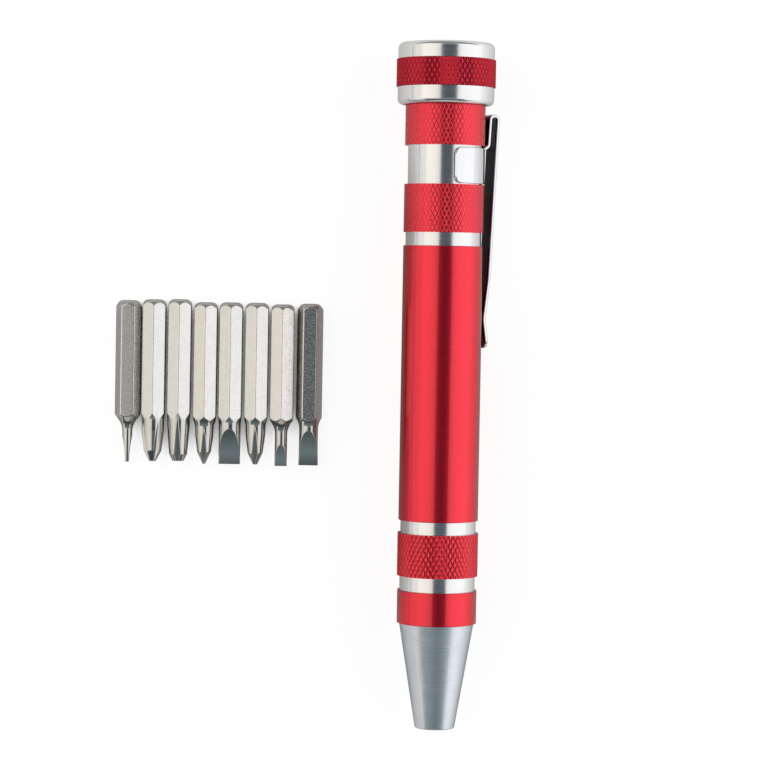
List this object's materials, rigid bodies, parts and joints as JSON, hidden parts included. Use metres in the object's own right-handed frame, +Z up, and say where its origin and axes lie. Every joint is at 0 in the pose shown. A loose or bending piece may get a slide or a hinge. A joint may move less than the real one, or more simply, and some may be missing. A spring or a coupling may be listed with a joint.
{
  "type": "pocket screwdriver",
  "caption": "Pen-shaped pocket screwdriver with a knurled red barrel, screw cap over the bit store, pocket clip and hexagon nose socket, lying beside its row of slotted and cross-point bits.",
  "frame": {"origin": "on the surface that the set lies on, under the middle of the box round driver and bits", "axes": "+Y along the driver from its nose to its cap, +X from the row of bits towards the driver, +Z up from the surface"},
  "size_m": [0.0667, 0.1191, 0.0173],
  "materials": {
    "red_anodised": "satin red anodised",
    "red_knurled": "knurled, red anodised",
    "bare_aluminium": "fine turned and polished",
    "clip_chrome": "bright chrome over spring steel",
    "bit_steel": "nickel-plated chrome vanadium steel",
    "magnet": "nickel-plated magnet",
    "seal_rubber": "black rubber"
  },
  "bodies": {
    "driver": {"barrel_tube": "bare_aluminium", "top_knurled_ring": "red_knurled", "middle_knurled_ring": "red_knurled", "grip_sleeve": "red_anodised", "grip_knurled_ring": "red_knurled", "front_ring": "red_anodised", "nose_cone": "bare_aluminium", "bit_socket": "bit_steel", "socket_magnet": "magnet"},
    "seal": {"cap_seal": "seal_rubber"},
    "cap": {"cap_shell": "bare_aluminium", "cap_knurled_band": "red_knurled", "cap_end_plug": "bare_aluminium"},
    "clip_hold": {"clip_band": "clip_chrome"},
    "clip_spring": {"clip_arm": "clip_chrome"},
    "slotted_bit_1_5": {"slotted_bit_1_5": "bit_steel"},
    "cross_bit_1": {"cross_bit_1": "bit_steel"},
    "cross_bit_2": {"cross_bit_2": "bit_steel"},
    "cross_bit_00": {"cross_bit_00": "bit_steel"},
    "slotted_bit_3_5": {"slotted_bit_3_5": "bit_steel"},
    "cross_bit_0": {"cross_bit_0": "bit_steel"},
    "slotted_bit_2": {"slotted_bit_2": "bit_steel"},
    "slotted_bit_3": {"slotted_bit_3": "bit_steel"}
  },
  "joints": [
    {"name": "cap_draw", "type": "slide", "parent": "driver", "child": "seal", "axis": [0, 0.9998, 0.018], "range_m": [0, 0.0061]},
    {"name": "cap_turn", "type": "hinge", "parent": "seal", "child": "cap", "pos_m": [0.02379, 0.05189, 0.0086], "axis": [0, 0.9998, 0.018], "range_deg": [0, 2160]},
    {"name": "clip_swivel", "type": "hinge", "parent": "driver", "child": "clip_hold", "pos_m": [0.02379, 0.03834, 0.00835], "axis": [0, 0.9998, 0.018], "continuous": true},
    {"name": "clip_flex", "type": "hinge", "parent": "clip_hold", "child": "clip_spring", "pos_m": [0.0316, 0.0475, 0.00536], "axis": [0.3746, -0.0167, 0.927], "range_deg": [0, 5], "stiffness_Nm_per_rad": 1.2},
    {"name": "lift_slotted_bit_1_5", "type": "slide", "parent": "driver", "child": "slotted_bit_1_5", "axis": [0, 0, 1], "range_m": [0, 0.03]},
    {"name": "lift_cross_bit_1", "type": "slide", "parent": "driver", "child": "cross_bit_1", "axis": [0, 0, 1], "range_m": [0, 0.03]},
    {"name": "lift_cross_bit_2", "type": "slide", "parent": "driver", "child": "cross_bit_2", "axis": [0, 0, 1], "range_m": [0, 0.03]},
    {"name": "lift_cross_bit_00", "type": "slide", "parent": "driver", "child": "cross_bit_00", "axis": [0, 0, 1], "range_m": [0, 0.03]},
    {"name": "lift_slotted_bit_3_5", "type": "slide", "parent": "driver", "child": "slotted_bit_3_5", "axis": [0, 0, 1], "range_m": [0, 0.03]},
    {"name": "lift_cross_bit_0", "type": "slide", "parent": "driver", "child": "cross_bit_0", "axis": [0, 0, 1], "range_m": [0, 0.03]},
    {"name": "lift_slotted_bit_2", "type": "slide", "parent": "driver", "child": "slotted_bit_2", "axis": [0, 0, 1], "range_m": [0, 0.03]},
    {"name": "lift_slotted_bit_3", "type": "slide", "parent": "driver", "child": "slotted_bit_3", "axis": [0, 0, 1], "range_m": [0, 0.03]}
  ],
  "couplings": [
    {"joint": "cap_draw", "follows": "cap_turn", "m_per_rad": 0.00015915}
  ]
}
